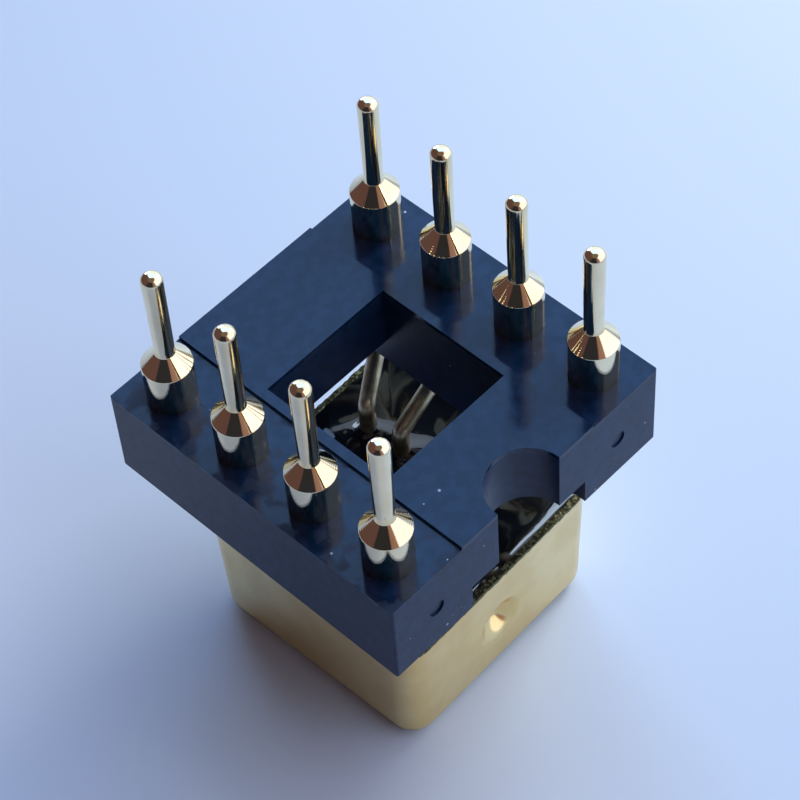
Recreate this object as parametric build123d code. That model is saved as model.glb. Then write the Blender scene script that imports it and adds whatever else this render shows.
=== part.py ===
from build123d import *
from math import cos, pi
import os

# A square metal can op amp with eight leads, plugged into an eight-way turned-pin socket.
# It stands on the closed face of its can, so the leads, the socket and its pins point up.
# Millimetres. X runs across the two rows of contacts, Y along them. The notched end faces -Y.
# The origin is in the middle of the can's closed face.

# Contact grid of the socket
contact_pitch = 2.54
row_spacing = 7.62
contacts_per_row = 4

# Drawn brass can
can_width = 7.56
can_depth = 7.56
can_height = 4.35
can_wall = 0.18
can_corner_radius = 0.75
can_base_radius = 0.50
can_offset_y = -0.18
dimple_diameter = 1.50
dimple_depth = 0.16
dimple_x = -0.15
dimple_height = 2.20

# Compound that seals the can
fill_depth_below_rim = 0.22
meniscus_rise = 0.16
meniscus_edge = 0.05

# Carrier board and amplifier chip, buried in the compound
board_width = 6.30
board_depth = 6.30
board_thickness = 0.60
board_height = 2.10
board_corner_radius = 0.40
chip_width = 3.00
chip_depth = 3.00
chip_thickness = 0.75
chip_stand_off = 0.10
chip_edge_chamfer = 0.15
chip_leg_pitch = 0.65
chip_leg_width = 0.30
chip_leg_thickness = 0.13
chip_leg_reach = 0.95
chip_leg_foot = 0.50
chip_legs_per_side = 4

# Leads of the op amp
lead_diameter = 0.48
lead_base_pitch = 1.27
lead_base_spacing = 2.54
lead_offset_y = 0.22
lead_straight_above_fill = 1.02
lead_bend_below_mouth = 0.52
lead_bend_setback = 0.28
lead_insertion = 2.30
lead_facets = 8

# Insulator of the socket
socket_gap = 2.10
frame_side_margin = 1.14
frame_end_margin = 1.18
rail_height = 2.90
window_width = 4.30
window_length = 4.26
window_offset_y = -0.10
crossbar_lift = 0.88
plate_ledge = 0.30
plate_rise = 0.10
notch_radius = 1.15
frame_corner_radius = 0.08

# Turned pins of the socket
barrel_diameter = 1.36
barrel_stand = 1.33
head_diameter = 1.80
head_height = 0.15
cone_height = 0.45
tail_diameter = 0.54
tail_length = 3.44
tail_tip_height = 0.13
tail_tip_diameter = 0.30
bore_diameter = 0.98
bore_depth = 2.90

# Spring contact inside each turned pin
clip_wall = 0.08
clip_facets = 8
clip_mouth_depth = 0.30
clip_collar_length = 0.80
clip_finger_length = 1.20
clip_finger_width = 0.26
clip_finger_count = 4
clip_grip_clearance = 0.01

# Levels that the pieces share
can_rim = can_height
fill_level = can_rim - fill_depth_below_rim
socket_face = can_rim + socket_gap
strip_level = socket_face + rail_height
mouth_level = socket_face - head_height
barrel_top = strip_level + barrel_stand
cone_top = barrel_top + cone_height
tail_tip = barrel_top + tail_length

# Plan sizes that follow from the grid
row_length = (contacts_per_row - 1) * contact_pitch
frame_width = row_spacing + 2 * frame_side_margin
frame_length = row_length + 2 * frame_end_margin
plate_height = rail_height + plate_rise

# The contacts are numbered round the socket, from the left of the notch and back down the right.
along_row = [contact_pitch * (i - (contacts_per_row - 1) / 2) for i in range(contacts_per_row)]
lead_along = [lead_base_pitch * (i - (contacts_per_row - 1) / 2) for i in range(contacts_per_row)]
left_contacts = [(-row_spacing / 2, y) for y in along_row]
right_contacts = [(row_spacing / 2, y) for y in reversed(along_row)]
contacts = left_contacts + right_contacts
left_leads = [(-lead_base_spacing / 2, y + lead_offset_y) for y in lead_along]
right_leads = [(lead_base_spacing / 2, y + lead_offset_y) for y in reversed(lead_along)]
lead_bases = left_leads + right_leads


def block(width, depth, height, x, y, z):
    """A box from its centre in plan and the height of its underside."""
    return Pos(x, y, z) * Box(width, depth, height, align=(Align.CENTER, Align.CENTER, Align.MIN))


def rod(diameter, height, x, y, z):
    """An upright cylinder from the height of its lower end."""
    centred = (Align.CENTER, Align.CENTER, Align.MIN)
    return Pos(x, y, z) * Cylinder(diameter / 2, height, align=centred)


def turned(outline):
    """A turned piece from the radius and height of each corner of its half section."""
    return revolve(make_face(Plane.XZ * Polyline(*outline, close=True)), Axis.Z)


def drawn_cup(width, depth, height, corner_radius, base_radius):
    """The filled form of a square cup that is rounded at its corners and round its closed face."""
    body = extrude(RectangleRounded(width, depth, corner_radius), height)
    return fillet(body.edges().group_by(Axis.Z)[0], base_radius)


def dimple_ball(growth):
    """The ball whose cap is the dimple in the can's front wall, made larger all round by growth."""
    rim_radius = dimple_diameter / 2
    ball_radius = (rim_radius**2 + dimple_depth**2) / (2 * dimple_depth)
    centre_y = can_offset_y - can_depth / 2 + dimple_depth - ball_radius
    return Pos(dimple_x, centre_y, dimple_height) * Sphere(ball_radius + growth)


def can_outside():
    cup = drawn_cup(can_width, can_depth, can_height, can_corner_radius, can_base_radius)
    return Pos(0, can_offset_y, 0) * cup


def can_inside():
    cup = drawn_cup(
        can_width - 2 * can_wall,
        can_depth - 2 * can_wall,
        can_height,
        can_corner_radius - can_wall,
        can_base_radius - can_wall,
    )
    return Pos(0, can_offset_y, can_wall) * cup - dimple_ball(can_wall)


def can_shell():
    return can_outside() - can_inside() - dimple_ball(0)


def carrier_board():
    outline = RectangleRounded(board_width, board_depth, board_corner_radius)
    return Pos(0, can_offset_y, board_height) * extrude(outline, board_thickness)


def amplifier_chip():
    underside = board_height - chip_stand_off - chip_thickness
    body = block(chip_width, chip_depth, chip_thickness, 0, can_offset_y, underside)
    return chamfer(body.edges().group_by(Axis.Z)[0], chip_edge_chamfer)


def chip_leg(side, y):
    """One gull-wing leg, from the side of the chip's body to its foot on the board."""
    waist = board_height - chip_stand_off - chip_thickness / 2
    foot = chip_leg_thickness
    near = chip_width / 2
    far = near + chip_leg_reach
    knee = far - chip_leg_foot
    section = [
        (near, waist),
        (knee, waist),
        (knee, board_height - foot),
        (far, board_height - foot),
        (far, board_height),
        (knee - foot, board_height),
        (knee - foot, waist + foot),
        (near, waist + foot),
    ]
    outline = [(side * x, z) for x, z in section]
    profile = make_face(Plane.XZ * Polyline(*outline, close=True))
    leg = extrude(profile, chip_leg_width / 2, both=True)
    return Pos(0, y + can_offset_y, 0) * leg


def chip_legs():
    offsets = [chip_leg_pitch * (i - (chip_legs_per_side - 1) / 2) for i in range(chip_legs_per_side)]
    return [chip_leg(side, y) for side in (-1, 1) for y in offsets]


def can_lead(base, contact):
    """A lead, upright from the board, splayed outwards above the can and upright in its contact."""
    foot = Vector(base[0], base[1], board_height + board_thickness)
    lower_bend = Vector(base[0], base[1], fill_level + lead_straight_above_fill)
    upper_bend = Vector(contact[0], contact[1], mouth_level - lead_bend_below_mouth)
    tip = Vector(contact[0], contact[1], socket_face + lead_insertion)
    upright = Vector(0, 0, lead_bend_setback)
    splay = (upper_bend - lower_bend).normalized() * lead_bend_setback
    path = Polyline(
        foot,
        lower_bend - upright,
        lower_bend + splay,
        upper_bend - splay,
        upper_bend + upright,
        tip,
    )
    section = Plane(origin=foot, z_dir=(0, 0, 1)) * RegularPolygon(lead_diameter / 2, lead_facets)
    return sweep(section, path=path, transition=Transition.RIGHT)


def potting_fill(buried):
    """The compound, risen a little up the can's walls, round everything that it buries."""
    top_level = fill_level + meniscus_rise
    fill = can_inside() & block(2 * can_width, 2 * can_depth, top_level, 0, 0, 0)
    inset = can_wall + meniscus_edge
    outline = RectangleRounded(can_width - 2 * inset, can_depth - 2 * inset, can_corner_radius - inset)
    dish = extrude(outline, can_height)
    dish = chamfer(dish.edges().group_by(Axis.Z)[0], meniscus_rise)
    fill -= Pos(0, can_offset_y, fill_level) * dish
    for piece in buried:
        fill -= piece
    return fill


def socket_frame():
    frame = block(frame_width, frame_length, rail_height, 0, 0, socket_face)
    frame = fillet(frame.edges().filter_by(Axis.Z), frame_corner_radius)
    frame += block(window_width + 2 * plate_ledge, frame_length, plate_height, 0, 0, socket_face)
    frame -= block(window_width, window_length, plate_height, 0, window_offset_y, socket_face)
    frame -= block(window_width, frame_length, crossbar_lift, 0, 0, socket_face)
    frame -= rod(2 * notch_radius, plate_height, 0, -frame_length / 2, socket_face)
    for x, y in contacts:
        frame -= rod(barrel_diameter, rail_height, x, y, socket_face)
    return frame


def pin_sleeve(contact):
    """A turned pin: head, barrel, cone and solder tail, with a blind bore for a contact clip."""
    bore_end = socket_face + bore_depth
    sleeve = turned(
        [
            (bore_diameter / 2, mouth_level),
            (head_diameter / 2, mouth_level),
            (head_diameter / 2, socket_face),
            (barrel_diameter / 2, socket_face),
            (barrel_diameter / 2, barrel_top),
            (tail_diameter / 2, cone_top),
            (tail_diameter / 2, tail_tip - tail_tip_height),
            (tail_tip_diameter / 2, tail_tip),
            (0, tail_tip),
            (0, bore_end),
            (bore_diameter / 2, bore_end),
        ]
    )
    return Pos(contact[0], contact[1], 0) * sleeve


def contact_clip(contact):
    """A pressed collar that springs against the bore, with flat fingers that close on the lead."""
    corner_radius = bore_diameter / 2
    flat_radius = corner_radius * cos(pi / clip_facets)
    turn = 180 / clip_facets
    collar_start = mouth_level + clip_mouth_depth
    collar_end = collar_start + clip_collar_length
    finger_end = collar_end + clip_finger_length
    grip = lead_diameter / 2 + clip_grip_clearance
    outside = RegularPolygon(corner_radius, clip_facets, rotation=turn)
    inside = RegularPolygon(flat_radius - clip_wall, clip_facets, major_radius=False, rotation=turn)
    clip = Pos(0, 0, collar_start) * extrude(outside - inside, clip_collar_length)
    finger = [
        (flat_radius, collar_end),
        (grip + clip_wall, finger_end),
        (grip, finger_end),
        (flat_radius - clip_wall, collar_end),
    ]
    blade = extrude(make_face(Plane.XZ * Polyline(*finger, close=True)), clip_finger_width / 2, both=True)
    for i in range(clip_finger_count):
        clip += Rot(0, 0, 360 * i / clip_finger_count) * blade
    return Pos(contact[0], contact[1], 0) * clip


def build():
    leads = [can_lead(base, contact) for base, contact in zip(lead_bases, contacts)]
    board = carrier_board()
    chip = amplifier_chip()
    legs = chip_legs()
    parts = {
        "can_shell": can_shell(),
        "potting_fill": potting_fill([board, chip] + legs + leads),
        "carrier_board": board,
        "amplifier_chip": chip,
        "chip_legs": Compound(children=legs),
        "socket_frame": socket_frame(),
    }
    for number, contact in enumerate(contacts, 1):
        parts[f"can_lead_{number}"] = leads[number - 1]
        parts[f"pin_sleeve_{number}"] = pin_sleeve(contact)
        parts[f"contact_clip_{number}"] = contact_clip(contact)
    return parts


os.makedirs("parts", exist_ok=True)
for node, shape in build().items():
    export_step(shape, f"parts/{node}.step")
    print(node, round(shape.volume, 3))
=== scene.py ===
import math

import bmesh
import bpy
from mathutils import Matrix, Vector, noise


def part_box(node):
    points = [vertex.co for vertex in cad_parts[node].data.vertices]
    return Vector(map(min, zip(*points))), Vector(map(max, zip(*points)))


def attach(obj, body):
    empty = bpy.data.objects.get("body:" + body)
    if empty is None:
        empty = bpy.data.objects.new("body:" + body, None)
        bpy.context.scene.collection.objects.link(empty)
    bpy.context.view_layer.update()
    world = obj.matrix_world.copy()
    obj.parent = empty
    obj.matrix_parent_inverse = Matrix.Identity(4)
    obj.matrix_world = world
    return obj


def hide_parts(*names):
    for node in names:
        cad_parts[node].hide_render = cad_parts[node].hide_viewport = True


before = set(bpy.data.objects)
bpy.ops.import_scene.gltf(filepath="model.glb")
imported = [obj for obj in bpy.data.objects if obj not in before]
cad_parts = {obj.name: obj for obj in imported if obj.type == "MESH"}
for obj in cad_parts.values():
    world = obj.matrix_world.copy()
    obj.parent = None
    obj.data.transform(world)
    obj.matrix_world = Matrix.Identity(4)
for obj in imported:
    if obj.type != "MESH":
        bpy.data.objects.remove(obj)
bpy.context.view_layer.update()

mm = 0.001  # pieces are shaped in millimetres, then brought to metres
perMm = 1000.0  # texture scale of one feature per millimetre
past = 1  # how far a cutting tool reaches past what it cuts
sameLevel = 0.01  # heights this close count as one
squareOn = 0.9  # a normal with this much of one direction faces that way


# Modelling helpers
def boxInMm(node):
    low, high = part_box(node)
    return low / mm, high / mm


def leaveEdit():
    if bpy.context.object and bpy.context.object.mode != "OBJECT":
        bpy.ops.object.mode_set(mode="OBJECT")


def deselectAll():
    leaveEdit()
    bpy.ops.object.select_all(action="DESELECT")


def makeActive(piece):
    deselectAll()
    piece.select_set(True)
    bpy.context.view_layer.objects.active = piece


def editMesh(piece, mode):
    makeActive(piece)
    bpy.ops.object.mode_set(mode="EDIT")
    bpy.ops.mesh.select_mode(type=mode)
    bpy.ops.mesh.select_all(action="DESELECT")
    return bmesh.from_edit_mesh(piece.data)


def pick(piece, mesh, elements, test):
    for element in elements:
        element.select_set(test(element))
    mesh.select_flush_mode()
    bmesh.update_edit_mesh(piece.data)


def isUpright(edge):  # it rises by more than a millimetre
    return abs(edge.verts[0].co.z - edge.verts[1].co.z) > 1


def applyModifiers(piece):
    makeActive(piece)
    for modifier in list(piece.modifiers):
        bpy.ops.object.modifier_apply(modifier=modifier.name)


def addBevel(piece, width, angle):
    modifier = piece.modifiers.new("edges", "BEVEL")
    modifier.width = width
    modifier.segments = 2
    modifier.limit_method = "ANGLE"
    modifier.angle_limit = math.radians(angle)
    applyModifiers(piece)


def cutAway(piece, tools, operation="DIFFERENCE"):
    for tool in tools:
        modifier = piece.modifiers.new("cut", "BOOLEAN")
        modifier.object = tool
        modifier.operation = operation
        modifier.solver = "EXACT"
        applyModifiers(piece)
    for tool in tools:
        bpy.data.objects.remove(tool)


def addBlock(low, high):
    deselectAll()
    centre = [(a + b) / 2 for a, b in zip(low, high)]
    bpy.ops.mesh.primitive_cube_add(size=1, location=centre)
    block = bpy.context.object
    block.scale = [b - a for a, b in zip(low, high)]
    bpy.ops.object.transform_apply(location=True, rotation=True, scale=True)
    return block


def addRod(radius, low, high, vertices):
    deselectAll()
    middle = [(a + b) / 2 for a, b in zip(low, high)]
    along = Vector(high) - Vector(low)
    turn = along.to_track_quat("Z", "Y").to_euler()
    bpy.ops.mesh.primitive_cylinder_add(
        vertices=vertices, radius=radius, depth=along.length, location=middle, rotation=turn
    )
    bpy.ops.object.transform_apply(location=True, rotation=True, scale=True)
    return bpy.context.object


def smoothByAngle(piece, angle):  # large faces stay flat, and their small bevels carry the turn
    makeActive(piece)
    bpy.ops.object.shade_smooth_by_angle(angle=math.radians(angle))
    modifier = piece.modifiers.new("weighted", "WEIGHTED_NORMAL")
    modifier.keep_sharp = True
    applyModifiers(piece)


def turnAbout(piece, degrees, centre):  # round an upright axis
    centre = Vector((*centre, 0))
    turn = Matrix.Rotation(math.radians(degrees), 4, "Z")
    piece.data.transform(Matrix.Translation(centre) @ turn @ Matrix.Translation(-centre))


def cleanMesh(piece):
    editMesh(piece, "VERT")
    bpy.ops.mesh.select_all(action="SELECT")
    bpy.ops.mesh.remove_doubles(threshold=0.0005)
    bpy.ops.mesh.normals_make_consistent(inside=False)
    leaveEdit()


def finishPiece(piece, name, material, nodes):
    makeActive(piece)
    piece.scale = (mm, mm, mm)
    bpy.ops.object.transform_apply(location=True, rotation=True, scale=True)
    piece.name = name
    piece.data.name = name
    piece.data.materials.clear()
    piece.data.materials.append(material)
    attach(piece, "root")
    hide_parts(*nodes)


# Camera
cameraSetup = {
    "place": (-28.793, -31.336, 64.997),
    "aim": (-0.451, -1.071, 10.0),
    "roll": -4.57,
    "lens": 123.21,
    "sensor": 36.0,
    "clipNear": 0.001,  # metres
    "clipFar": 5,
}


def makeCamera():
    deselectAll()
    bpy.ops.object.camera_add()
    camera = bpy.context.object
    camera.name = "camera"
    place = Vector(cameraSetup["place"]) * mm
    aim = Vector(cameraSetup["aim"]) * mm
    turn = (aim - place).to_track_quat("-Z", "Y").to_matrix()
    roll = Matrix.Rotation(math.radians(cameraSetup["roll"]), 3, "Z")
    camera.matrix_world = Matrix.Translation(place) @ (turn @ roll).to_4x4()
    camera.data.lens = cameraSetup["lens"]
    camera.data.sensor_width = cameraSetup["sensor"]
    camera.data.sensor_fit = "HORIZONTAL"
    camera.data.clip_start = cameraSetup["clipNear"]
    camera.data.clip_end = cameraSetup["clipFar"]
    bpy.context.scene.camera = camera
    print("camera set")


# Shader helpers
def newMaterial(name):
    material = bpy.data.materials.new(name)
    material.use_nodes = True
    tree = material.node_tree
    return material, tree, tree.nodes["Principled BSDF"]


def addNode(tree, kind, settings=None, inputs=None):
    node = tree.nodes.new(kind)
    for key, value in (settings or {}).items():
        setattr(node, key, value)
    for key, value in (inputs or {}).items():
        if isinstance(value, bpy.types.NodeSocket):
            tree.links.new(value, node.inputs[key])
        else:
            node.inputs[key].default_value = value
    return node


def objectPlace(tree):
    return addNode(tree, "ShaderNodeTexCoord").outputs["Object"]


def splitPlace(tree, place):
    return addNode(tree, "ShaderNodeSeparateXYZ", None, {0: place}).outputs


def addNoise(tree, place, scale, detail):
    inputs = {"Vector": place, "Scale": scale, "Detail": detail}
    return addNode(tree, "ShaderNodeTexNoise", None, inputs).outputs[0]


def mathNode(tree, operation, first, second=0.0):
    settings = {"operation": operation}
    return addNode(tree, "ShaderNodeMath", settings, {0: first, 1: second}).outputs[0]


def mixColour(tree, share, first, second):
    node = addNode(tree, "ShaderNodeMix", {"data_type": "RGBA"})
    for index, value in ((0, share), (6, first), (7, second)):
        if isinstance(value, bpy.types.NodeSocket):
            tree.links.new(value, node.inputs[index])
        else:
            node.inputs[index].default_value = value if index == 0 else (*value, 1)
    return node.outputs[2]


def between(tree, value, low, high, first=0.0, second=1.0):
    inputs = {"Value": value, "From Min": low, "From Max": high, "To Min": first, "To Max": second}
    return addNode(tree, "ShaderNodeMapRange", {"interpolation_type": "SMOOTHSTEP"}, inputs).outputs[0]


def newGroup(name, inputs, outputs):
    group = bpy.data.node_groups.new(name, "ShaderNodeTree")
    for socket, value in inputs.items():
        made = group.interface.new_socket(name=socket, in_out="INPUT", socket_type="NodeSocketFloat")
        made.default_value = value
    for socket in outputs:
        group.interface.new_socket(name=socket, in_out="OUTPUT", socket_type="NodeSocketFloat")
    return group, group.nodes.new("NodeGroupInput"), group.nodes.new("NodeGroupOutput")


grainSetup = {
    "spread": (0.3, 0.7),  # the noise seldom leaves it
    "patchShare": 0.11,  # scale of the patches beside the grain's own
    "patchDetail": 3.0,
    "patchSpread": (0.35, 0.65),
}


def makeGrainGroup():  # fine tooth of a surface for bump and roughness, and its coarser patches
    group, given, out = newGroup("surfaceGrain", {"Scale": 20.0, "Detail": 4.0}, ["Height", "Patch"])
    scale = mathNode(group, "MULTIPLY", given.outputs["Scale"], perMm)
    place = objectPlace(group)
    fine = addNoise(group, place, scale, given.outputs["Detail"])
    coarseScale = mathNode(group, "MULTIPLY", scale, grainSetup["patchShare"])
    coarse = addNoise(group, place, coarseScale, grainSetup["patchDetail"])
    group.links.new(fine, out.inputs["Height"])
    group.links.new(between(group, coarse, *grainSetup["patchSpread"]), out.inputs["Patch"])
    return group


def makeDustGroup():  # scattered specks, some of them larger
    group, given, out = newGroup("dustSpecks", {"Scale": 3.0, "Size": 0.1, "Share": 0.3}, ["Mask"])
    scale = mathNode(group, "MULTIPLY", given.outputs["Scale"], perMm)
    cells = addNode(group, "ShaderNodeTexVoronoi", None, {"Vector": objectPlace(group), "Scale": scale})
    split = addNode(group, "ShaderNodeSeparateColor", None, {0: cells.outputs["Color"]})
    reach = mathNode(group, "MULTIPLY", given.outputs["Size"], split.outputs[0])
    near = mathNode(group, "LESS_THAN", cells.outputs["Distance"], reach)
    chosen = mathNode(group, "LESS_THAN", split.outputs[1], given.outputs["Share"])
    group.links.new(mathNode(group, "MULTIPLY", near, chosen), out.inputs["Mask"])
    return group


def useGroup(tree, group, **inputs):
    node = tree.nodes.new("ShaderNodeGroup")
    node.node_tree = group
    for key, value in inputs.items():
        node.inputs[key].default_value = value
    return node


def useDust(tree, look):
    given = {"Scale": look["dustScale"], "Size": look["dustSize"], "Share": look["dustShare"]}
    return useGroup(tree, dustGroup, **given).outputs["Mask"]


def grainRoughness(tree, height, look):
    return between(tree, height, *grainSetup["spread"], *look["roughness"])


def addBump(tree, shader, height, look):
    inputs = {"Height": height, "Distance": look["bumpDepth"] * mm, "Strength": look["bumpStrength"]}
    bump = addNode(tree, "ShaderNodeBump", None, inputs).outputs[0]
    tree.links.new(bump, shader.inputs["Normal"])


grainGroup = makeGrainGroup()
dustGroup = makeDustGroup()

# Black moulding: glossy on top, duller at its sides, with flux smears mostly along one strip
insulatorLook = {
    "colour": (0.002, 0.013, 0.043),
    "paler": (0.006, 0.022, 0.066),
    "dust": (0.30, 0.38, 0.50),
    "dustScale": 2.6,
    "dustSize": 0.11,
    "dustShare": 0.22,
    "roughness": (0.06, 0.14),
    "sides": 0.30,
    "topEdge": (0.06, 0.02),  # below the top, where the sides' finish ends
    "smear": 0.34,
    "smearScale": 1.5,
    "smearDetail": 9.0,
    "smearSpread": (0.48, 0.62),
    "smearEdge": (-2.40, -2.50),
    "smearElsewhere": 0.15,
    "specular": 0.29,
    "grain": 26.0,
    "grainDetail": 5.0,
    "bumpDepth": 0.0010,
    "bumpStrength": 1.0,
}


def makeInsulatorMaterial(topHeight):
    look = insulatorLook
    material, tree, shader = newMaterial("blackMoulding")
    grain = useGroup(tree, grainGroup, Scale=look["grain"], Detail=look["grainDetail"])
    base = mixColour(tree, grain.outputs["Patch"], look["colour"], look["paler"])
    colour = mixColour(tree, useDust(tree, look), base, look["dust"])
    tree.links.new(colour, shader.inputs["Base Color"])
    rough = grainRoughness(tree, grain.outputs["Height"], look)
    place = objectPlace(tree)
    smears = addNoise(tree, place, look["smearScale"] * perMm, look["smearDetail"])
    across, _, height = splitPlace(tree, place)
    near, far = look["smearEdge"]
    handled = between(tree, across, near * mm, far * mm, look["smearElsewhere"], 1.0)
    smear = mathNode(tree, "MULTIPLY", between(tree, smears, *look["smearSpread"]), handled)
    low, high = look["topEdge"]
    top = between(tree, height, (topHeight - low) * mm, (topHeight - high) * mm)
    finish = mathNode(tree, "MULTIPLY", smear, look["smear"])
    finish = between(tree, top, 0.0, 1.0, look["sides"], finish)
    rough = mathNode(tree, "ADD", rough, finish)
    tree.links.new(rough, shader.inputs["Roughness"])
    shader.inputs["Specular IOR Level"].default_value = look["specular"]
    addBump(tree, shader, grain.outputs["Height"], look)
    return material


# Gold plate on turned brass, with faint rings from the lathe
goldLook = {
    "colour": (0.96, 0.84, 0.56),
    "worn": (0.90, 0.76, 0.48),
    "roughness": (0.03, 0.08),
    "roughSpread": (0.35, 0.75),
    "grain": 9.0,
    "grainDetail": 4.0,
    "ringPitch": 0.05,
    "ringWander": 3.0,
    "bumpDepth": 0.0004,
    "bumpStrength": 0.5,
}


def makeGoldMaterial():
    look = goldLook
    material, tree, shader = newMaterial("polishedGoldPlate")
    grain = useGroup(tree, grainGroup, Scale=look["grain"], Detail=look["grainDetail"])
    colour = mixColour(tree, grain.outputs["Patch"], look["colour"], look["worn"])
    tree.links.new(colour, shader.inputs["Base Color"])
    shader.inputs["Metallic"].default_value = 1.0
    rough = between(tree, grain.outputs["Height"], *look["roughSpread"], *look["roughness"])
    tree.links.new(rough, shader.inputs["Roughness"])
    height = splitPlace(tree, objectPlace(tree))[2]
    turns = mathNode(tree, "MULTIPLY", height, 2 * math.pi * perMm / look["ringPitch"])
    rings = mathNode(tree, "SINE", turns)
    wander = mathNode(tree, "MULTIPLY", grain.outputs["Height"], look["ringWander"])
    addBump(tree, shader, mathNode(tree, "ADD", rings, wander), look)
    return material


# Drawn brass: upright lines in its roughness, a stained rim, and a dimple burnished by its punch
canLook = {
    "colour": (0.90, 0.70, 0.34),
    "warmer": (0.84, 0.62, 0.27),
    "rim": (0.13, 0.12, 0.045),
    "roughness": (0.28, 0.30),
    "grain": 7.0,
    "grainDetail": 5.0,
    "lineScale": 9,
    "lineDetail": 2.0,
    "lineStretch": 0.06,
    "burnish": 0.6,
    "burnishFrom": 0.7,  # share of the dimple's radius
    "rimDepth": 0.08,
    "rimBlend": 0.06,
    "rimRagged": 0.16,
    "rimRougher": 0.25,
    "bumpDepth": 0.012,
    "bumpStrength": 0.25,
}


def makeCanMaterial(rimHeight):
    look = canLook
    material, tree, shader = newMaterial("drawnBrass")
    place = objectPlace(tree)
    grain = useGroup(tree, grainGroup, Scale=look["grain"], Detail=look["grainDetail"])
    stretch = {"Vector": place, "Scale": (1.0, 1.0, look["lineStretch"])}
    stretched = addNode(tree, "ShaderNodeMapping", None, stretch).outputs[0]
    drawn = addNoise(tree, stretched, look["lineScale"] * perMm, look["lineDetail"])
    ragged = mathNode(tree, "MULTIPLY", grain.outputs["Height"], look["rimRagged"] * mm)
    height = mathNode(tree, "ADD", splitPlace(tree, place)[2], ragged)
    rimStart = (rimHeight - look["rimDepth"]) * mm
    rim = between(tree, height, rimStart, rimStart + look["rimBlend"] * mm)
    body = mixColour(tree, grain.outputs["Patch"], look["colour"], look["warmer"])
    tree.links.new(mixColour(tree, rim, body, look["rim"]), shader.inputs["Base Color"])
    shader.inputs["Metallic"].default_value = 1.0
    rough = grainRoughness(tree, drawn, look)
    middle = (canShape["dimpleX"] * mm, canLow.y * mm, canShape["dimpleHeight"] * mm)
    gap = addNode(tree, "ShaderNodeVectorMath", {"operation": "DISTANCE"}, {0: place, 1: middle})
    away, reach = gap.outputs["Value"], canShape["dimpleRadius"] * mm
    burnished = between(tree, away, look["burnishFrom"] * reach, reach, look["burnish"], 1.0)
    rough = mathNode(tree, "MULTIPLY", rough, burnished)
    rough = mathNode(tree, "ADD", rough, mathNode(tree, "MULTIPLY", rim, look["rimRougher"]))
    tree.links.new(rough, shader.inputs["Roughness"])
    addBump(tree, shader, grain.outputs["Patch"], look)
    return material


# Trimmed edge of the brass: dark, with small bright beads
rimLook = {
    "colour": (0.045, 0.042, 0.018),
    "bead": (0.26, 0.25, 0.12),
    "beadScale": 11.0,
    "beadDetail": 2.0,
    "beadSpread": (0.48, 0.66),
    "roughness": (0.65, 0.38),  # between the beads, and on them
    "metallic": 0.7,
    "bumpDepth": 0.03,
    "bumpStrength": 0.8,
}


def makeRimMaterial():
    look = rimLook
    material, tree, shader = newMaterial("trimmedBrass")
    beads = useGroup(tree, grainGroup, Scale=look["beadScale"], Detail=look["beadDetail"])
    share = between(tree, beads.outputs["Height"], *look["beadSpread"])
    tree.links.new(mixColour(tree, share, look["colour"], look["bead"]), shader.inputs["Base Color"])
    tree.links.new(between(tree, share, 0.0, 1.0, *look["roughness"]), shader.inputs["Roughness"])
    shader.inputs["Metallic"].default_value = look["metallic"]
    addBump(tree, shader, beads.outputs["Height"], look)
    return material


# Cast compound: black and glossy, with a little dust
compoundLook = {
    "colour": (0.006, 0.008, 0.012),
    "dust": (0.25, 0.25, 0.27),
    "dustScale": 2.0,
    "dustSize": 0.07,
    "dustShare": 0.2,
    "roughness": (0.06, 0.09),
    "ior": 1.58,
    "grain": 6.0,
    "grainDetail": 2.0,
    "bumpDepth": 0.01,
    "bumpStrength": 0.4,
}


def makeCompoundMaterial():
    look = compoundLook
    material, tree, shader = newMaterial("castCompound")
    grain = useGroup(tree, grainGroup, Scale=look["grain"], Detail=look["grainDetail"])
    colour = mixColour(tree, useDust(tree, look), look["colour"], look["dust"])
    tree.links.new(colour, shader.inputs["Base Color"])
    rough = between(tree, grain.outputs["Patch"], 0.0, 1.0, *look["roughness"])
    tree.links.new(rough, shader.inputs["Roughness"])
    shader.inputs["IOR"].default_value = look["ior"]
    addBump(tree, shader, grain.outputs["Patch"], look)
    return material


def makeSimpleMaterial(look):  # one finish in two shades
    material, tree, shader = newMaterial(look["name"])
    grain = useGroup(tree, grainGroup, Scale=look["grain"], Detail=look["grainDetail"])
    colour = mixColour(tree, grain.outputs["Patch"], look["colour"], look["shade"])
    tree.links.new(colour, shader.inputs["Base Color"])
    shader.inputs["Metallic"].default_value = look["metallic"]
    rough = grainRoughness(tree, grain.outputs["Height"], look)
    tree.links.new(rough, shader.inputs["Roughness"])
    addBump(tree, shader, grain.outputs["Height"], look)
    return material


# Levels and places, from the frame, in millimetres
frameLow, frameHigh = boxInMm("socket_frame")
canLow, canHigh = boxInMm("can_shell")
pinCount = 8
pinBoxes = [boxInMm(f"pin_sleeve_{n}") for n in range(1, pinCount + 1)]
pinPlaces = [((low.x + high.x) / 2, (low.y + high.y) / 2) for low, high in pinBoxes]
canCentre = ((canLow.x + canHigh.x) / 2, (canLow.y + canHigh.y) / 2)

# Socket frame: one block with its plate raised, then its openings and marks cut and its edges eased
frameShape = {
    "plateRise": 0.10,
    "plateHalf": 2.45,
    "windowHalfX": 2.15,
    "windowHalfY": 2.13,
    "windowPlace": -0.10,
    "crossbarLift": 0.88,
    "notchRadius": 1.15,
    "notchSides": 96,
    "holeRadius": 0.68,
    "holeSides": 48,
    "cornerRadius": 0.08,
    "cornerSegments": 5,
    "edge": 0.03,
    "markRadius": 0.25,
    "markSides": 32,
    "markDepth": 0.05,
    "markHeight": 1.40,
    "markPlace": 3.43,
}


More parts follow.
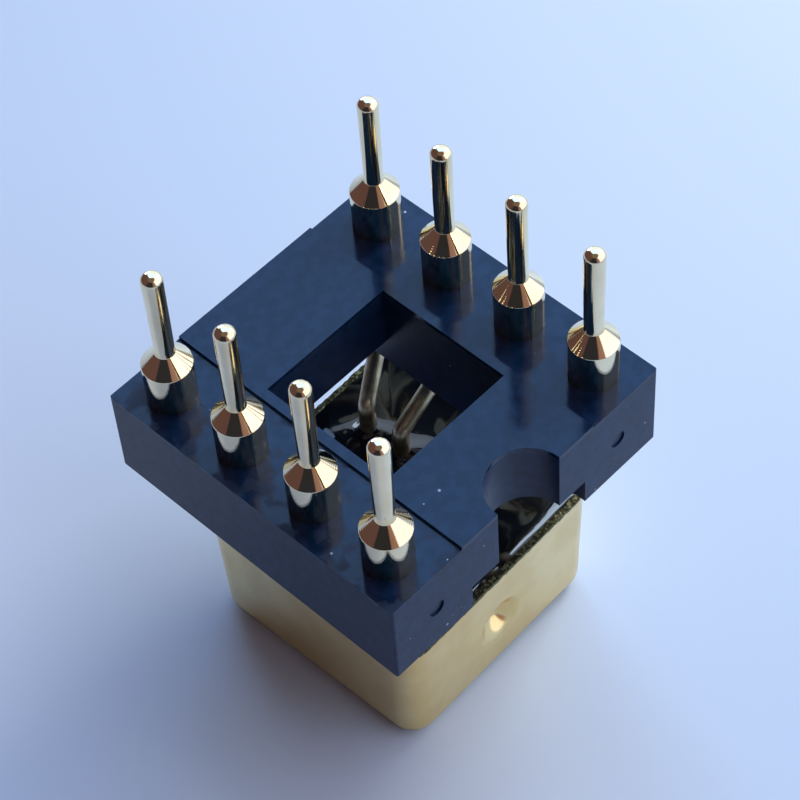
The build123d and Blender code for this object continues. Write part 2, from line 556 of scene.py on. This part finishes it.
def makeSocketFrame(material):
    shape = frameShape
    strip = frameHigh.z - shape["plateRise"]
    under, over = frameLow.z - past, frameHigh.z + past
    body = addBlock(frameLow, (frameHigh.x, frameHigh.y, strip))
    mesh = editMesh(body, "EDGE")
    pick(body, mesh, mesh.edges, isUpright)
    bpy.ops.mesh.bevel(offset=shape["cornerRadius"], segments=shape["cornerSegments"])
    leaveEdit()
    side = shape["plateHalf"]
    plate = addBlock((-side, frameLow.y, strip - past), (side, frameHigh.y, frameHigh.z))
    cutAway(body, [plate], "UNION")
    side, middle, half = shape["windowHalfX"], shape["windowPlace"], shape["windowHalfY"]
    lift = frameLow.z + shape["crossbarLift"]
    start, end = (0, frameLow.y, frameLow.z), (0, frameLow.y, over)
    tools = [
        addBlock((-side, middle - half, under), (side, middle + half, over)),
        addBlock((-side, frameLow.y - past, under), (side, frameHigh.y + past, lift)),
        addRod(shape["notchRadius"], start, end, shape["notchSides"]),
    ]
    for x, y in pinPlaces:
        tools.append(addRod(shape["holeRadius"], (x, y, under), (x, y, over), shape["holeSides"]))
    for x in (-shape["markPlace"], shape["markPlace"]):
        z = frameLow.z + shape["markHeight"]
        start, end = (x, frameLow.y - past, z), (x, frameLow.y + shape["markDepth"], z)
        tools.append(addRod(shape["markRadius"], start, end, shape["markSides"]))
    cutAway(body, tools)
    cleanMesh(body)
    addBevel(body, shape["edge"], 30)
    smoothByAngle(body, 40)
    finishPiece(body, "socketFrame", material, ["socket_frame"])
    print("socket frame made")


# Turned pins: one half section, drawn from the tip down and back up the bore
pinShape = {
    "tailRadius": 0.265,
    "tipRadius": 0.29,
    "tipRise": 0.20,
    "tipFlat": 0.03,
    "tipSteps": 14,
    "tailLength": 3.44,
    "coneHeight": 0.45,
    "barrelRadius": 0.68,
    "headRadius": 0.90,
    "headHeight": 0.15,
    "mouthRadius": 0.60,
    "mouthDepth": 0.12,
    "boreRadius": 0.49,
    "boreDepth": 2.90,
    "edge": 0.018,
    "segments": 72,
}


def pinProfile(mouth, tip):
    shape = pinShape
    barrelTop = tip - shape["tailLength"]
    points = []
    steps = shape["tipSteps"]
    for i in range(steps + 1):
        angle = math.pi / 2 * i / steps
        reach = shape["tipFlat"] + (shape["tipRadius"] - shape["tipFlat"]) * math.sin(angle)
        points.append((reach, tip - shape["tipRise"] * (1 - math.cos(angle))))
    points += [
        (shape["tailRadius"], barrelTop + shape["coneHeight"]),
        (shape["barrelRadius"], barrelTop),
        (shape["barrelRadius"], mouth + shape["headHeight"]),
        (shape["headRadius"], mouth + shape["headHeight"]),
        (shape["headRadius"], mouth),
        (shape["mouthRadius"], mouth),
        (shape["boreRadius"], mouth + shape["mouthDepth"]),
        (shape["boreRadius"], mouth + shape["headHeight"] + shape["boreDepth"]),
    ]
    return points


def makePins(material):
    low, high = pinBoxes[0]
    profile = pinProfile(low.z, high.z)
    deselectAll()
    radius, height = profile[0]
    bpy.ops.mesh.primitive_circle_add(
        vertices=pinShape["segments"], radius=radius, fill_type="NGON", location=(0, 0, height)
    )
    master = bpy.context.object
    bpy.ops.object.transform_apply(location=True)
    bpy.ops.object.mode_set(mode="EDIT")
    bpy.ops.mesh.select_all(action="SELECT")
    for (radius, height), (nextRadius, nextHeight) in zip(profile, profile[1:]):
        bpy.ops.mesh.extrude_region_move(TRANSFORM_OT_translate={"value": (0, 0, nextHeight - height)})
        growth = nextRadius / radius
        if growth != 1:
            bpy.ops.transform.resize(value=(growth, growth, 1), center_override=(0, 0, nextHeight))
    leaveEdit()
    cleanMesh(master)
    addBevel(master, pinShape["edge"], 25)
    for number, (x, y) in enumerate(pinPlaces, 1):
        deselectAll()
        pin = master.copy()
        pin.data = master.data.copy()
        bpy.context.scene.collection.objects.link(pin)
        pin.location = (x * mm, y * mm, 0)
        smoothByAngle(pin, 30)
        finishPiece(pin, f"turnedPin_{number}", material, [f"pin_sleeve_{number}"])
    bpy.data.objects.remove(master)
    print("turned pins made")


# Can: a block narrowed towards its foot and rounded, hollowed, dimpled, and ragged at its trimmed rim
canShape = {
    "cornerRadius": 0.75,
    "cornerSegments": 12,
    "baseRadius": 0.50,
    "baseSegments": 10,
    "draft": 1.4,  # degrees, and so is the turn
    "turn": 1.5,
    "wall": 0.18,
    "dimpleRadius": 0.82,
    "dimpleDepth": 0.46,
    "dimpleX": -0.15,
    "dimpleHeight": 2.20,
    "dimpleBorder": 0.55,
    "dimpleCuts": 90,
    "dimpledOff": 0.06,  # the dimpled wall's middle is this near its place, and its area over this
    "dimpledArea": 4,
    "rimBand": 0.13,
    "bandSlack": 0.001,
    "rimCuts": 110,
    "rimJag": 0.035,
    "jagScale": 7.0,
    "jagTighter": 1.4,  # the heights vary over shorter lengths
    "jagDrop": 0.35,
    "rimFinish": 0.2,  # depth that the rim's finish can reach, on faces that look up
    "rimFacing": 0.5,
    "insideFacing": -0.8,
}


def draftInset(height):  # how far the can's wall has come in at a height
    return (canHigh.z - height) * math.tan(math.radians(canShape["draft"]))


def finishOf(face):  # 0 outside, 1 trimmed rim, 2 inside, which the compound wets
    middle = face.center / mm
    if face.normal.z > canShape["rimFacing"] and middle.z > canHigh.z - canShape["rimFinish"]:
        return 1
    facing = face.normal.x * (middle.x - canCentre[0]) + face.normal.y * (middle.y - canCentre[1])
    return 2 if facing < canShape["insideFacing"] else 0


def isTopFace(face):
    return face.normal.z > squareOn and face.calc_center_median().z > canHigh.z - sameLevel


def makeCan(material, rimMaterial, insideMaterial):
    shape = canShape
    body = addBlock(canLow, canHigh)
    width = canHigh.x - canLow.x
    mesh = editMesh(body, "FACE")
    pick(body, mesh, mesh.faces, lambda f: f.normal.z < -squareOn)
    narrower = 1 - 2 * draftInset(canLow.z) / width
    bpy.ops.transform.resize(value=(narrower, narrower, 1), center_override=(*canCentre, canLow.z))
    mesh = editMesh(body, "EDGE")
    pick(body, mesh, mesh.edges, isUpright)
    bpy.ops.mesh.bevel(offset=shape["cornerRadius"], segments=shape["cornerSegments"])
    mesh = editMesh(body, "EDGE")
    pick(body, mesh, mesh.edges, lambda e: all(v.co.z < canLow.z + sameLevel for v in e.verts))
    bpy.ops.mesh.bevel(offset=shape["baseRadius"], segments=shape["baseSegments"])
    leaveEdit()
    mesh = editMesh(body, "FACE")
    pick(body, mesh, mesh.faces, isTopFace)
    bpy.ops.mesh.inset(thickness=shape["wall"])
    depth = canHigh.z - canLow.z - shape["wall"]
    bpy.ops.mesh.extrude_region_move(TRANSFORM_OT_translate={"value": (0, 0, -depth)})
    narrower = 1 - 2 * draftInset(canLow.z) / (width - 2 * shape["wall"])
    bpy.ops.transform.resize(value=(narrower, narrower, 1), center_override=(*canCentre, 0))
    leaveEdit()
    makeDimple(body)
    makeRim(body)
    cleanMesh(body)
    turnAbout(body, shape["turn"], canCentre)
    smoothByAngle(body, 40)
    finishPiece(body, "canBody", material, ["can_shell"])
    body.data.materials.append(rimMaterial)
    body.data.materials.append(insideMaterial)
    for face in body.data.polygons:
        face.material_index = finishOf(face)
    print("can made")


def makeDimple(body):  # pressed in, so both faces of the wall take it
    shape = canShape
    x, z = shape["dimpleX"], shape["dimpleHeight"]
    for depth in (0, shape["wall"]):
        wallY = canLow.y + draftInset(z) + depth
        mesh = editMesh(body, "FACE")
        pick(body, mesh, mesh.faces, lambda f: isDimpledWall(f, wallY))
        bpy.ops.mesh.inset(thickness=shape["dimpleBorder"])
        bpy.ops.mesh.subdivide(number_cuts=shape["dimpleCuts"])
        leaveEdit()
        for v in body.data.vertices:
            away = math.hypot(v.co.x - x, v.co.z - z) / shape["dimpleRadius"]
            if v.select and away < 1:
                v.co.y += shape["dimpleDepth"] * (1 - away * away) ** 2


def isDimpledWall(face, wallY):
    near = abs(face.calc_center_median().y - wallY) < canShape["dimpledOff"]
    return abs(face.normal.y) > squareOn and near and face.calc_area() > canShape["dimpledArea"]


def makeRim(body):  # cut finely, then each point of its edge moved a little
    shape = canShape
    editMesh(body, "FACE")
    bpy.ops.mesh.select_all(action="SELECT")
    bandLow = canHigh.z - shape["rimBand"]
    bpy.ops.mesh.bisect(plane_co=(0, 0, bandLow), plane_no=(0, 0, 1))
    mesh = editMesh(body, "EDGE")
    pick(body, mesh, mesh.edges, lambda e: isLongAbove(e, bandLow - shape["bandSlack"]))
    bpy.ops.mesh.subdivide(number_cuts=shape["rimCuts"])
    leaveEdit()
    jag = shape["rimJag"]
    for v in body.data.vertices:
        if v.co.z > canHigh.z - sameLevel:
            place = v.co * shape["jagScale"]
            tighter = place * shape["jagTighter"]
            v.co.x += jag * noise.noise(place)
            v.co.y += jag * noise.noise(place + Vector((9, 4, 7)))
            v.co.z += jag * (noise.noise(tighter + Vector((3, 8, 1))) - shape["jagDrop"])


def isLongAbove(edge, height):  # longer than a millimetre
    return min(v.co.z for v in edge.verts) > height and edge.calc_length() > 1


# Compound: a grid fitted to the can's inside, risen at the wall and round each lead. Below it
# is drawn in, unseen, so that it stays behind the dimple
fillShape = {
    "belowRim": 0.34,
    "bottom": 0.30,
    "bottomInset": 0.90,
    "cornerRadius": 0.57,
    "cells": 130,
    "wallRise": 0.32,
    "wallReach": 0.45,
    "leadRise": 0.13,
    "leadReach": 0.16,
    "ripple": 0.02,
    "rippleScale": 0.9,
    "swells": [  # place, height and reach of each
        (0.46, 2.40, 0.24, 0.46),
        (0.12, 1.86, 0.15, 0.30),
        (1.40, 1.50, 0.21, 0.36),
        (1.56, 0.40, 0.24, 0.42),
    ],
}
leadShape = {"radius": 0.24, "rowHalf": 1.27, "offsetY": 0.22}


def leadBases():
    bases = []
    for x, y in pinPlaces:
        side = 1 if x > 0 else -1
        bases.append((side * leadShape["rowHalf"], y / 2 + leadShape["offsetY"]))
    return bases


def insideDepth(x, y, half, radius):  # distance in from the rounded square's edge
    qx = abs(x) - (half - radius)
    qy = abs(y) - (half - radius)
    out = math.hypot(max(qx, 0), max(qy, 0)) + min(max(qx, qy), 0) - radius
    return -out


def makeCompound(material):
    shape = fillShape
    level = canHigh.z - shape["belowRim"]
    half = (canHigh.x - canLow.x) / 2 - canShape["wall"] - draftInset(level)
    radius = shape["cornerRadius"]
    deselectAll()
    bpy.ops.mesh.primitive_grid_add(
        x_subdivisions=shape["cells"], y_subdivisions=shape["cells"], size=2 * half
    )
    body = bpy.context.object
    bases = [(x, y - canCentre[1]) for x, y in leadBases()]
    inner = half - radius
    for v in body.data.vertices:
        x, y = v.co.x, v.co.y
        if abs(x) > inner and abs(y) > inner:
            cx, cy = math.copysign(inner, x), math.copysign(inner, y)
            away = Vector((x - cx, y - cy))
            reach = max(abs(away.x), abs(away.y))
            if away.length > 0:
                away = away.normalized() * reach
            x, y = cx + away.x, cy + away.y
        depth = max(insideDepth(x, y, half, radius), 0)
        z = level + shape["wallRise"] * math.exp(-depth / shape["wallReach"])
        for bx, by in bases:
            reach = max(math.hypot(x - bx, y - by) - leadShape["radius"], 0)
            z += shape["leadRise"] * math.exp(-reach / shape["leadReach"])
        for sx, sy, rise, reach in shape["swells"]:
            away = math.hypot(x - sx, y + canCentre[1] - sy) / reach
            z += rise * math.exp(-away * away / 2)
        scale = shape["rippleScale"]
        z += shape["ripple"] * noise.noise(Vector((x * scale, y * scale, 4.0)))
        v.co = Vector((x + canCentre[0], y + canCentre[1], z))
    mesh = editMesh(body, "EDGE")
    pick(body, mesh, mesh.edges, lambda e: e.is_boundary)
    bpy.ops.mesh.extrude_region_move(TRANSFORM_OT_translate={"value": (0, 0, -1)})
    mesh = bmesh.from_edit_mesh(body.data)
    shrink = 1 - shape["bottomInset"] / half
    for v in mesh.verts:
        if v.select:
            v.co.x = canCentre[0] + (v.co.x - canCentre[0]) * shrink
            v.co.y = canCentre[1] + (v.co.y - canCentre[1]) * shrink
            v.co.z = shape["bottom"]
    bmesh.update_edit_mesh(body.data)
    bpy.ops.mesh.edge_face_add()
    leaveEdit()
    cleanMesh(body)
    turnAbout(body, canShape["turn"], canCentre)
    smoothByAngle(body, 50)
    finishPiece(body, "pottingSurface", material, ["potting_fill"])
    print("compound made")


# Leads: a wire along a smooth curve with two bends
leadLook = {
    "name": "tarnishedGoldPlate",
    "colour": (0.62, 0.57, 0.40),
    "shade": (0.36, 0.32, 0.22),
    "metallic": 1.0,
    "roughness": (0.34, 0.48),
    "grain": 14.0,
    "grainDetail": 5.0,
    "bumpDepth": 0.002,
    "bumpStrength": 0.4,
}
leadPath = {"foot": 2.7, "lowerBend": 5.15, "upperBend": 5.78, "tip": 8.75, "bendReach": 0.34}


def makeLeads(material):
    for number, ((bx, by), (sx, sy)) in enumerate(zip(leadBases(), pinPlaces), 1):
        lower = Vector((bx, by, leadPath["lowerBend"]))
        upper = Vector((sx, sy, leadPath["upperBend"]))
        splay = (upper - lower).normalized() * leadPath["bendReach"]
        rise = Vector((0, 0, leadPath["bendReach"]))
        corners = [
            Vector((bx, by, leadPath["foot"])), lower - rise, lower, lower + splay,
            upper - splay, upper, upper + rise, Vector((sx, sy, leadPath["tip"])),
        ]
        deselectAll()
        bpy.ops.curve.primitive_nurbs_path_add()
        wire = bpy.context.object
        wire.data.splines.clear()
        spline = wire.data.splines.new("NURBS")
        spline.points.add(len(corners) - 1)
        for point, corner in zip(spline.points, corners):
            point.co = (*corner, 1)
        spline.order_u = 3
        spline.use_endpoint_u = True
        spline.resolution_u = 8
        wire.data.bevel_depth = leadShape["radius"]
        wire.data.bevel_resolution = 10
        wire.data.use_fill_caps = True
        makeActive(wire)
        bpy.ops.object.convert(target="MESH")
        wire = bpy.context.object
        cleanMesh(wire)
        smoothByAngle(wire, 40)
        finishPiece(wire, f"lead_{number}", material, [f"can_lead_{number}"])
    print("leads made")


# Pieces kept as the frame has them, by the start of their names
hiddenLooks = {
    "contact_clip": {
        "name": "springGold", "colour": (0.88, 0.70, 0.42), "shade": (0.74, 0.57, 0.33),
        "metallic": 1.0, "roughness": (0.15, 0.3), "grain": 12.0, "bumpDepth": 0.002,
    },
    "carrier_board": {
        "name": "laminate", "colour": (0.05, 0.14, 0.05), "shade": (0.08, 0.19, 0.07),
        "metallic": 0.0, "roughness": (0.4, 0.6), "grain": 8.0, "bumpDepth": 0.004,
    },
    "amplifier_chip": {
        "name": "chipMoulding", "colour": (0.02, 0.02, 0.02), "shade": (0.035, 0.035, 0.035),
        "metallic": 0.0, "roughness": (0.5, 0.7), "grain": 20.0, "bumpDepth": 0.004,
    },
    "chip_legs": {
        "name": "tinPlate", "colour": (0.62, 0.62, 0.60), "shade": (0.5, 0.5, 0.49),
        "metallic": 1.0, "roughness": (0.25, 0.4), "grain": 16.0, "bumpDepth": 0.002,
    },
}
hiddenShared = {"grainDetail": 4.0, "bumpStrength": 0.7}


def finishHiddenPieces():
    for start, look in hiddenLooks.items():
        material = makeSimpleMaterial({**look, **hiddenShared})
        for node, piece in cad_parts.items():
            if node.startswith(start):
                piece.data.materials.clear()
                piece.data.materials.append(material)
    print("hidden pieces finished")


# Table and light
tableLook = {
    # painted light and shade: the table's colour shifts across x, slightly lighter towards -x, to set how
    # lit each side looks
    "near": (0.62, 0.73, 0.91),
    "far": (0.57, 0.71, 0.90),
    "paintedLightSpan": (-10, 8),
    "roughness": 0.9,
    "specular": 0.1,
    "size": 600,
}
skyLook = {
    "backdrop": (0.62, 0.76, 0.95),
    "overhead": (0.18, 0.13, 0.11),
    "overheadEdge": (0.90, 0.94),
    # sky behind the room, and a low window pane beside it: soft edges in degrees and in height
    "blueSky": (0.95, 1.65, 3.00),
    "blueSide": (156, 163),
    "blueHeight": ((0.62, 0.69), (0.93, 0.88)),
    "pane": (4.0, 5.0, 6.2),
    "paneSides": ((-175, -172), (-150, -153)),
    "paneHeight": ((0.06, 0.10), (0.46, 0.40)),
    "front": (-0.687, -0.727, 0),
    "right": (0.727, -0.687, 0),
    # the room all round, in degrees from its front towards its right, where the window is
    "bands": [
        (-180, (1.00, 1.20, 1.50)),
        (-162, (0.90, 1.05, 1.30)),
        (-153, (0.11, 0.065, 0.062)),
        (-52, (0.11, 0.060, 0.068)),
        (-47, (0.025, 0.026, 0.036)),
        (12, (0.025, 0.026, 0.036)),
        (15, (0.27, 0.155, 0.145)),
        (38, (0.33, 0.20, 0.18)),
        (42, (1.24, 1.30, 1.58)),
        (125, (1.24, 1.30, 1.58)),
        (150, (1.00, 1.20, 1.50)),
    ],
}
lampSetup = {
    "place": (60, 0, 52),
    "aim": (0, 0, 5),
    "size": 34,
    "power": 0.031,
    "colour": (1.0, 0.94, 0.85),
}


def makeTable():
    deselectAll()
    bpy.ops.mesh.primitive_plane_add(size=tableLook["size"] * mm)
    table = bpy.context.object
    table.name = "table"
    material, tree, shader = newMaterial("palePaper")
    # painted light and shade: colour blended across x in place of light falling off across the table
    across = splitPlace(tree, objectPlace(tree))[0]
    start, end = tableLook["paintedLightSpan"]
    share = between(tree, across, start * mm, end * mm)
    tree.links.new(mixColour(tree, share, tableLook["near"], tableLook["far"]), shader.inputs["Base Color"])
    shader.inputs["Roughness"].default_value = tableLook["roughness"]
    shader.inputs["Specular IOR Level"].default_value = tableLook["specular"]
    table.data.materials.append(material)
    print("table laid")


def turnEdge(tree, turn, edge):  # soft edge at a turn, given in degrees
    return between(tree, turn, *[math.radians(angle) for angle in edge])


def makeSky():
    world = bpy.data.worlds.new("sky")
    bpy.context.scene.world = world
    world.use_nodes = True
    tree = world.node_tree
    direction = addNode(tree, "ShaderNodeTexCoord").outputs["Generated"]
    dots = []
    for key in ("right", "front"):
        inputs = {0: direction, 1: skyLook[key]}
        facing = addNode(tree, "ShaderNodeVectorMath", {"operation": "DOT_PRODUCT"}, inputs)
        dots.append(facing.outputs["Value"])
    turn = mathNode(tree, "ARCTAN2", *dots)
    place = mathNode(tree, "ADD", mathNode(tree, "DIVIDE", turn, 2 * math.pi), 0.5)
    ramp = addNode(tree, "ShaderNodeValToRGB", None, {0: place})
    stops = ramp.color_ramp.elements
    while len(stops) < len(skyLook["bands"]):
        stops.new(0.5)
    for stop, (angle, colour) in zip(stops, skyLook["bands"]):
        stop.position = angle / 360 + 0.5
        stop.color = (*colour, 1)
    height = splitPlace(tree, direction)[2]
    overhead = between(tree, height, *skyLook["overheadEdge"])
    room = mixColour(tree, overhead, ramp.outputs[0], skyLook["overhead"])
    behind = turnEdge(tree, mathNode(tree, "ABSOLUTE", turn), skyLook["blueSide"])
    raised = mathNode(tree, "MULTIPLY", *[between(tree, height, *edge) for edge in skyLook["blueHeight"]])
    room = mixColour(tree, mathNode(tree, "MULTIPLY", behind, raised), room, skyLook["blueSky"])
    beside = mathNode(tree, "MULTIPLY", *[turnEdge(tree, turn, edge) for edge in skyLook["paneSides"]])
    lowDown = mathNode(tree, "MULTIPLY", *[between(tree, height, *edge) for edge in skyLook["paneHeight"]])
    room = mixColour(tree, mathNode(tree, "MULTIPLY", beside, lowDown), room, skyLook["pane"])
    rays = addNode(tree, "ShaderNodeLightPath")
    colour = mixColour(tree, rays.outputs["Is Camera Ray"], room, skyLook["backdrop"])
    tree.links.new(colour, tree.nodes["Background"].inputs["Color"])
    print("sky set")


def makeLamp():
    deselectAll()
    place = Vector(lampSetup["place"]) * mm
    aim = Vector(lampSetup["aim"]) * mm
    turn = (aim - place).to_track_quat("-Z", "Y").to_euler()
    bpy.ops.object.light_add(type="AREA", location=place, rotation=turn)
    lamp = bpy.context.object
    lamp.name = "softbox"
    lamp.data.shape = "DISK"
    lamp.data.size = lampSetup["size"] * mm
    lamp.data.energy = lampSetup["power"]
    lamp.data.color = lampSetup["colour"]
    print("lamp lit")


makeCamera()
makeTable()
makeSky()
makeLamp()
insulatorMaterial = makeInsulatorMaterial(frameHigh.z - frameShape["plateRise"])
goldMaterial = makeGoldMaterial()
canMaterial = makeCanMaterial(canHigh.z)
compoundMaterial = makeCompoundMaterial()
leadMaterial = makeSimpleMaterial(leadLook)
makeSocketFrame(insulatorMaterial)
makePins(goldMaterial)
makeCan(canMaterial, makeRimMaterial(), compoundMaterial)
makeCompound(compoundMaterial)
makeLeads(leadMaterial)
finishHiddenPieces()

bpy.context.scene.view_settings.view_transform = "Standard"
